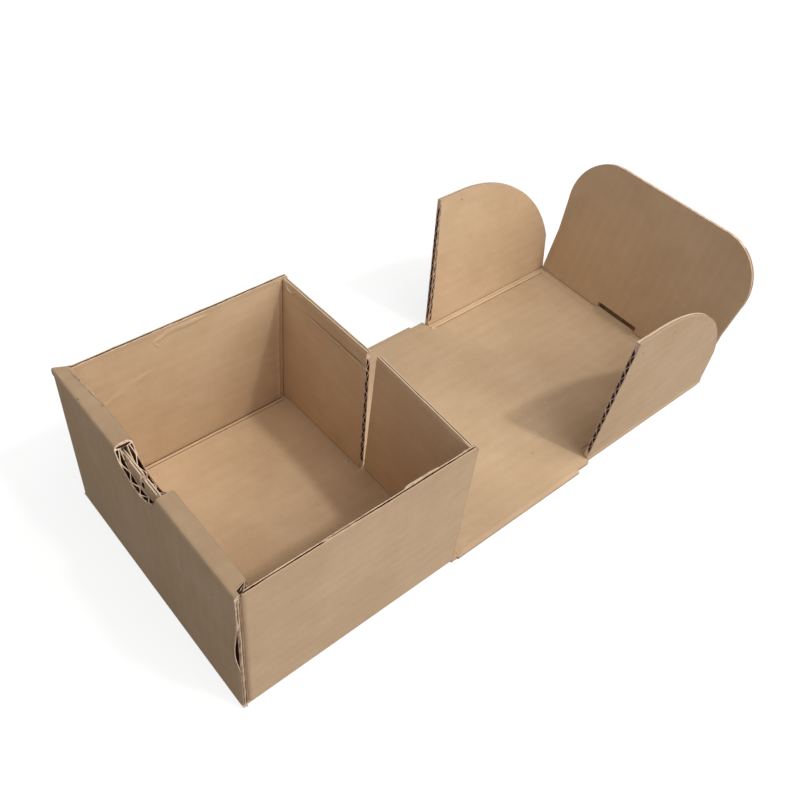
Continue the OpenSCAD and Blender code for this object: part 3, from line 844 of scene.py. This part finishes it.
# At each end of the notch, a strip of painted shade in the gap and a torn liner
for side in (1, -1):
    line = [notch_place(side * END_GAP_AT, y) for y in (-54.1, -48.0)]
    ridge(f"notch_end_gap_{side}", line, towards_notch, 1.9, 0.04, gap_shade_paint, waver=0.7, seed=67)
    line = [notch_place(side * END_LINER_AT, y) + up * Z for y, up in ((-53.9, 0), (-51.0, 0.3), (-48.2, 0))]
    ridge(f"notch_end_liner_{side}", line, towards_notch, 0.2, 0.2, torn_liner, waver=0.6, seed=68)
shreds = [
    [(-13.2, -51.9, 77.3), (-8.5, -51.2, 74.9), (-3.0, -50.6, 73.4), (2.5, -51.3, 73.2)],
    [(-9.5, -50.3, 75.4), (-2.0, -50.9, 73.0), (5.5, -50.2, 73.3), (10.5, -50.8, 75.6)],
    [(1.5, -51.9, 72.6), (7.5, -51.6, 73.9), (12.2, -51.1, 76.7)],
]
for i, line in enumerate(shreds):
    ridge(f"notch_shred_{i}", line, Z, 0.8, 0.7, torn_liner, waver=0.6, seed=75 + i, step=0.7)

# %% [markdown]
# ## The worn front corner
# At the near front corner the cut edge of the front wall meets the side wall. Its outer liner has
# come loose and bulges out, and a gap runs down beside it, drawn as a strip of painted shade. A strip
# whose bulge swells and fades along the edge makes the loose liner. Where the layers of the roll show
# at its ends, a plate of painted shade and thin strips are laid.

# %% Loose liner
GAP_LOW, GAP_HIGH = 31.0, 63.0
gap_length = GAP_HIGH - GAP_LOW


def bulge(t):
    """How far the loose liner stands out, with t from 0 at its foot to 1 at its head."""
    return 1.45 * math.sin(math.pi * t ** 0.9) ** 1.6


outlines = []
for z in steps(GAP_LOW, GAP_HIGH, 34):
    swell = bulge((z - GAP_LOW) / gap_length)
    xs = steps(wall_x - 8.5, wall_x + 0.1, 12)
    ys = [front_y - 0.03 - swell * ((x - xs[0]) / (xs[-1] - xs[0])) ** 2.2 for x in xs]
    outer = [Vector((x, y, z)) for x, y in zip(xs, ys)]
    inner = [Vector((x, y + 0.32, z)) for x, y in zip(xs, ys)]
    outlines.append(outer + inner[::-1])
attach(loft("loose_liner", outlines, outside_x), "tray")
line = [(wall_x + 0.1, front_y + 0.13 - bulge(t), GAP_LOW + t * gap_length) for t in steps(0, 1, 34)]
ridge("loose_liner_edge", line, X, 0.42, 0.12, torn_liner, waver=0.2, seed=80)
# The gap behind the loose liner: a strip of painted shade
line = [(wall_x - 0.9, front_y, GAP_LOW + 2), (wall_x - 0.9, front_y, GAP_HIGH - 2)]
ridge("loose_liner_gap", line, -Y, 1.8, 0.05, gap_shade_paint, seed=81)
# Layers of the front wall's cut edge: depth, foot, head, width and paper; the last is a brown band of painted
# shade
FRONT_LAYERS = (
    (0.35, 63.0, 78.0, 0.4, torn_liner), (0.9, 64.0, 77.5, 0.3, flute_inside),
    (1.9, 2.5, 77.0, 0.35, flute_inside), (0.75, 2.0, 60.0, 0.3, flute_inside),
    (1.35, 2.0, 78.0, 0.45, torn_liner), (2.1, 3.0, 77.5, 0.8, worn_and_shaded_paper))
for i, (depth, low, high, width, material) in enumerate(FRONT_LAYERS):
    line = [(wall_x, front_y + depth, z) for z in (low, high)]
    ridge(f"front_edge_{i}", line, X, width, 0.1, material, waver=0.8, seed=84 + i)

# %% Ends of the roll
# A plate of painted shade where the roll's layers end, with torn liner edges on it
outlines = []
for (x0, y0), (x1, y1) in (
        ((61.7, -52.5), (wall_x, -52.5)), ((61.3, -51.3), (wall_x, -51.4)),
        ((60.9, -50.2), (62.3, -50.35)), ((60.55, -48.8), (60.65, -48.87))):
    top = [Vector((x0 + (x1 - x0) * u, y0 + (y1 - y0) * u, rim_z + 0.06)) for u in (0, 0.5, 1)]
    outlines.append(top + [v - 0.2 * Z for v in reversed(top)])
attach(loft("roll_end_shade", outlines, gap_shade_paint), "tray")
line = level(rim_z, (61.8, -53.1), (61.2, -51.3), (60.45, -48.8))
ridge("roll_end_edge", line, Z, 0.3, 0.3, torn_liner, waver=0.3, taper=0.5, seed=90)
line = level(rim_z, (61.2, -49.6), (62.2, -51.1), (62.9, -52.3))
ridge("roll_end_liner", line, Z, 0.24, 0.2, torn_liner, waver=0.3, taper=0.8, seed=91)
# At each end of the roll, two thin lines of painted shade with a torn liner between them
ROLL_LAYERS = ((1.7, 1.2, 0.05, gap_shade_paint), (0.75, 0.9, 0.05, gap_shade_paint), (1.25, 0.3, 0.11, torn_liner))
for (side, name), last in zip(SIDES, (-51.5, -47.9)):
    x = side * wall_x
    for i, (up, width, height, material) in enumerate(ROLL_LAYERS):
        line = [(x, -53.2, wall_z + up - 0.3), (x, last, wall_z + up)]
        ridge(f"roll_end_{name}_{i}", line, side * X, width, height, material, waver=0.4, seed=93 + i)

# %% [markdown]
# ## Wear on the other edges
# The top edges of the side walls are cut along the flutes. The two liners stand up there as thin
# wavering lips, torn in places. The far back flap has a crushed band under its top edge and a
# peeled corner, the far wall is creased near its top, and there are a few specks. Each is a ridge
# along its own line.

# %% Lips of the side walls
INNER_LIP = 1.78


def wall_top(side, start, inset):
    """Line along the top of a side wall, inset from its outside."""
    x = side * (wall_x - inset)
    return level(wall_z, (x, start), (x, back_y - 0.6))


WALL_LIPS = (("outer", 0.75, 0.3, outside_z), ("inner", INNER_LIP, 0.42, torn_liner))
# The slit between each wall's two lips is a line of painted shade
for (side, name), start in zip(SIDES, (-51.3, -49.0)):
    for part, inset, width, material in WALL_LIPS:
        ridge(f"wall_lip_{part}_{name}", wall_top(side, start, inset), Z, width, 0.25, material,
              waver=0.9, taper=1.0, seed=100 + 3 * side + inset)
    ridge(f"wall_slit_{name}", wall_top(side, start, board_t / 2), Z, 0.62, 0.1, gap_shade_paint,
          waver=0.6, taper=1.0, seed=104 + side)
x = wall_x - INNER_LIP
line = level(wall_z, (x, 18.5), (x - 0.3, 21.0), (x, 34.0), (x + 0.2, 36.5))
ridge("torn_lip", line, Z, 0.55, 1.2, torn_liner, waver=0.2, taper=1.5, seed=110)
line = level(wall_z, (x, -19.5), (x + 0.8, -16.0), (x + 1.1, -2.0))
ridge("torn_lip_2", line, Z, 0.45, 0.6, torn_liner, waver=0.4, taper=1.5, seed=111)

# %% Bands, peels and specks
flap_y = back_y - board_t
line = [(-50.0, flap_y, 69.4), (-30.0, flap_y, 69.9), (-8.0, flap_y, 69.6), (0.5, flap_y, 69.8)]
ridge("far_flap_band", line, -Y, 1.5, 0.28, inside_z, node="back_flap_far", waver=0.4, taper=9.0, seed=112)
line = [(-58.6, flap_y, 78.0), (-57.0, flap_y, 75.4), (-53.8, flap_y, 75.2), (-50.4, flap_y, 77.6)]
ridge("far_flap_peel", line, -Y, 0.5, 0.6, torn_liner, node="back_flap_far", waver=0.3, seed=113)
line = [(-wall_inside, y, z) for y, z in ((14.0, 76.8), (-6.0, 76.2), (-12.5, 74.0), (-10.0, 69.5))]
ridge("far_wall_band", line, X, 3.2, 0.25, inside_z, waver=0.5, taper=8.0, seed=114)
line = [(-wall_inside, y, z) for y, z in ((-14.0, 60.0), (-30.0, 54.0), (-40.0, 50.5))]
ridge("far_wall_wrinkle", line, X, 6.0, 0.2, inside_z, waver=0.6, taper=14.0, seed=115)
# Dark spots on the ears, drawn with the painted shade
for name, line, up, width in (
        ("far", [(-69.1, 171.7, 71.75), (-69.1, 172.5, 71.55)], (0.989, 0, 0.148), 1.0),
        ("near", [(62.0, 185.2, 69.1), (62.0, 185.9, 68.8)], X, 0.6)):
    ridge("ear_spot_" + name, line, up, width, 0.05, gap_shade_paint, node="ear_" + name, taper=0.3, step=0.3)
line = level(board_t, (-8.9, 51.3), (-7.6, 51.5))
ridge("floor_crumb", line, Z, 0.9, 0.8, cut_edge, waver=0.2, taper=0.6, seed=116, step=0.3)

# %% [markdown]
# ## Frayed flutes
# At an end cut across the flutes the wave and both liners show end on, here on the near ear, the
# back flaps and in the notch. A knife never leaves them as thin as they are: the paper frays and
# curls over, so that the zigzag looks bold from afar. The cut faces of the CAD part give the exact
# wave, and each is grown a little outwards and sideways.

# %% Frayed ends


def frayed_end(node, picked, grow, out):
    """Thickens the picked cut faces of a part and lays the fray over them."""
    work = bmesh.new()
    work.from_mesh(frame["nodes"][node].data)
    others = [f for f in work.faces if f.material_index != CUT_FACE or not picked(f)]
    bmesh.ops.delete(work, geom=others, context="FACES")
    cut = work.faces[:]
    bmesh.ops.inset_region(work, faces=cut, thickness=grow * MM, use_outset=True, use_even_offset=True)
    work.normal_update()
    normals = [v.normal.copy() for v in work.verts]
    for vertex, normal in zip(work.verts, normals):
        vertex.co += normal * ((0.04 + 0.1 * noise.noise(vertex.co * 300)) * MM)
    lower = list(work.verts)
    lifted = bmesh.ops.extrude_face_region(work, geom=work.faces[:])["geom"]
    for vertex in (v for v in lifted if isinstance(v, bmesh.types.BMVert)):
        under = min(range(len(lower)), key=lambda i: (lower[i].co - vertex.co).length_squared)
        curl = 1 + 0.6 * noise.noise(vertex.co * 400 + Vector((9, 0, 0)))
        vertex.co += normals[under] * (out * MM * curl)
    bmesh.ops.recalc_face_normals(work, faces=work.faces[:])
    fray = bpy.data.meshes.new(f"frayed_end_{node}")
    work.to_mesh(fray)
    work.free()
    fray.materials.clear()
    fray.materials.append(cut_edge)
    fray.polygons.foreach_set("material_index", [0] * len(fray.polygons))
    piece = add_object(f"frayed_end_{node}", fray)
    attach(piece, node)
    print(node, "frayed faces:", len(fray.polygons))


def in_notch(face):
    """Whether a face of the tray is a cut of the thumb notch."""
    place = face.calc_center_median() / MM
    near_notch = abs(place.x) < NOTCH_R - 1.5 and place.y < inner_y + 0.5 and place.z < wall_z
    return near_notch and face.normal.dot(towards_notch(place)) > 0.7


frayed_end("ear_near", lambda f: f.normal.y < -0.8, 0.16, 0.3)
frayed_end("back_flap_near", lambda f: f.normal.x < -0.8, 0.1, 0.15)
frayed_end("back_flap_far", lambda f: f.normal.x > 0.8, 0.1, 0.15)
frayed_end("tray", in_notch, 0.1, 0.25)

# %% [markdown]
# ## Bared flutes on the far ear
# On the far ear the inner liner is torn back along the rear end, and the wave shows beside the cut. A
# dark strip that widens downwards, the darker wavy paper with painted shade, with a pale zigzag on it at the
# board's own pitch, gives that.

# %% Bared flutes
BARE_FOOT, WAVE_FOOT = 3.4, 4.0
ear_lean = math.radians(rest_lean["ear_far_crease"])
ear_faces = frame["nodes"]["ear_far"].data.polygons
end_faces = [f for f in ear_faces if f.material_index == CUT_FACE and f.normal.y < -0.8]
end_foot = min(end_faces, key=lambda f: f.center.z).center / MM
end_top = max(end_faces, key=lambda f: f.center.z).center / MM
slope = (end_top.y - end_foot.y) / (end_top.z - end_foot.z)
ear_inward = Vector((math.cos(ear_lean), 0, math.sin(ear_lean)))
ear_up = Vector((-math.sin(ear_lean), slope * math.cos(ear_lean), math.cos(ear_lean)))
foot_y = end_foot.y + slope * (math.sin(ear_lean) * board_t - end_foot.z)
ear_foot = Vector((crease["ear_far_crease"].x, foot_y, 0)) + ear_inward * board_t
bare_top = end_top.z / math.cos(ear_lean) - 1.5


def on_far_ear(height, inset):
    """Place on the far ear's inner face, at this height up the face and inset from its rear end."""
    return ear_foot + ear_up * height + Y * inset


def bare_width(height):
    """How far the liner is torn back at this height."""
    return 0.55 + 1.35 * min(1.0, (bare_top - height) / 45.0)


outlines = []
for height in steps(BARE_FOOT, bare_top, 40):
    width = bare_width(height)
    top = [on_far_ear(height, inset) + ear_inward * 0.05 for inset in (0.03, width / 2, width)]
    outlines.append(top + [p - ear_inward * 0.15 for p in reversed(top)])
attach(loft("bare_strip", outlines, brown_shade_paper), "ear_far")
zigzag = []
for i in range(int((bare_top - WAVE_FOOT) / (FLUTE_PITCH / 2))):
    height = WAVE_FOOT + i * FLUTE_PITCH / 2
    zigzag.append(on_far_ear(height, 0.25 if i % 2 else bare_width(height) - 0.15))
ridge("bare_wave", zigzag, ear_inward, 0.45, 0.3, cut_edge, node="ear_far", waver=0.4, seed=130, step=0.7)
line = [on_far_ear(3.5, 0.12), on_far_ear(bare_top, 0.12)]
ridge("bare_lip", line, ear_inward, 0.3, 0.2, cut_edge, node="ear_far", waver=0.5, seed=131)
print("bared flutes up to", round(bare_top, 1), "mm")

# %% [markdown]
# ## The slot in the tuck flap's crease
# The slot lets a dark sliver show between the tuck flap and the lid. The lid's small tongue lies in
# shade there, so a thin strip of painted brown shade is laid over it.

# %% Slot lining
line = level(board_t + 0.14, (-SLOT_HALF - 1.0, tuck_y + 2.75), (SLOT_HALF + 1.0, tuck_y + 2.75))
ridge("slot_shade", line, Z, 5.3, 0.05, brown_shade_paper, node="lid", waver=0.1, taper=0.2, seed=120)

# %% [markdown]
# ## The table
# A pale table that goes on out of sight gives the white studio ground and keeps the box's
# shadow. For the camera alone it gets a little light of its own, so that it stays white without
# any more light on the board.

# %% Table


def lit_for_camera(tree, output, others, camera):
    """Ends a tree with one shader for the camera and another for all other rays."""
    seen = add_node(tree, "ShaderNodeLightPath").outputs["Is Camera Ray"]
    both = add_node(tree, "ShaderNodeMixShader", {0: seen, 1: others.outputs[0], 2: camera.outputs[0]})
    add_node(tree, output, {"Surface": both.outputs[0]})


table_mesh = bpy.data.meshes.new("table")
table_mesh.from_pydata([(-20, -20, 0), (20, -20, 0), (20, 20, 0), (-20, 20, 0)], [], [(0, 1, 2, 3)])
table = add_object("table", table_mesh)
table.location.z = -0.0001
table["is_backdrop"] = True
table_material = bpy.data.materials.new("pale table")
table_material.use_nodes = True
tree = table_material.node_tree
tree.nodes.clear()
plain = add_node(tree, "ShaderNodeBsdfDiffuse", {"Color": (0.18, 0.18, 0.18, 1)})
dim = add_node(tree, "ShaderNodeBsdfDiffuse", {"Color": (0.2, 0.2, 0.2, 1)})
glow = add_node(tree, "ShaderNodeEmission", {"Color": (1, 1, 1, 1), "Strength": 0.83})
bright = add_node(tree, "ShaderNodeAddShader", {0: dim.outputs[0], 1: glow.outputs[0]})
lit_for_camera(tree, "ShaderNodeOutputMaterial", plain, bright)
table_mesh.materials.append(table_material)

# %% [markdown]
# ## The light
# Distant lamps with soft edges stand for the studio's softboxes. A small key draws the near ear's
# shadow on the lid, and a broad one softens it. Two fills and a pale sky open up the shade.

# %% Light
world = bpy.data.worlds.new("pale sky")
scene.world = world
world.use_nodes = True
tree = world.node_tree
tree.nodes.clear()
sky = add_node(tree, "ShaderNodeBackground", {"Color": (0.97, 0.985, 1.0, 1), "Strength": 0.18})
white = add_node(tree, "ShaderNodeBackground", {"Color": (1, 1, 1, 1), "Strength": 1.0})
lit_for_camera(tree, "ShaderNodeOutputWorld", sky, white)


def sun_lamp(name, towards, energy, angle, colour):
    """Distant lamp that shines from the direction given, with a soft edge of that angle."""
    data = bpy.data.lights.new(name, "SUN")
    data.energy = energy
    data.angle = math.radians(angle)
    data.color = colour
    lamp = add_object(name, data)
    lamp.rotation_mode = "QUATERNION"
    lamp.rotation_quaternion = (-Vector(towards)).to_track_quat("-Z", "Y")
    print(name, "elevation:", round(math.degrees(math.asin(Vector(towards).normalized().z)), 1))


WARM, MILD = (1.0, 0.985, 0.96), (1.0, 0.99, 0.975)
sun_lamp("small key", (0.49, 0.255, 0.835), 0.9, 4, WARM)
sun_lamp("soft key", (0.5, 0.42, 0.7), 2.05, 60, WARM)
sun_lamp("side fill", (0.93, 0.1, 0.34), 0.6, 60, MILD)
sun_lamp("front fill", (0.2, -0.6, 0.75), 0.85, 90, MILD)

# %% [markdown]
# ## The camera
# The camera stands where the photograph was taken from. Its place and lens were worked out from
# the box's corners, which is surer than moving it by eye.

# %% Camera
camera_data = bpy.data.cameras.new("camera")
camera_data.sensor_width = 36.0
camera_data.lens = 40.048
camera_data.clip_start = 0.01
camera = add_object("camera", camera_data)
camera.location = Vector((196.389, -128.284, 333.174)) * MM
camera.rotation_euler = [math.radians(v) for v in (43.5156, -5.1739, 49.5473)]
scene.camera = camera
scene.view_settings.view_transform = "Standard"

# %% [markdown]
# ## Measure and finish
# The size of the dressed box is printed in millimetres; the tray's CAD size is printed at the start.

# %% Finish
low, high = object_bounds()
print("visual box, mm:", [round(1000 * v, 1) for v in (*low, *high)])
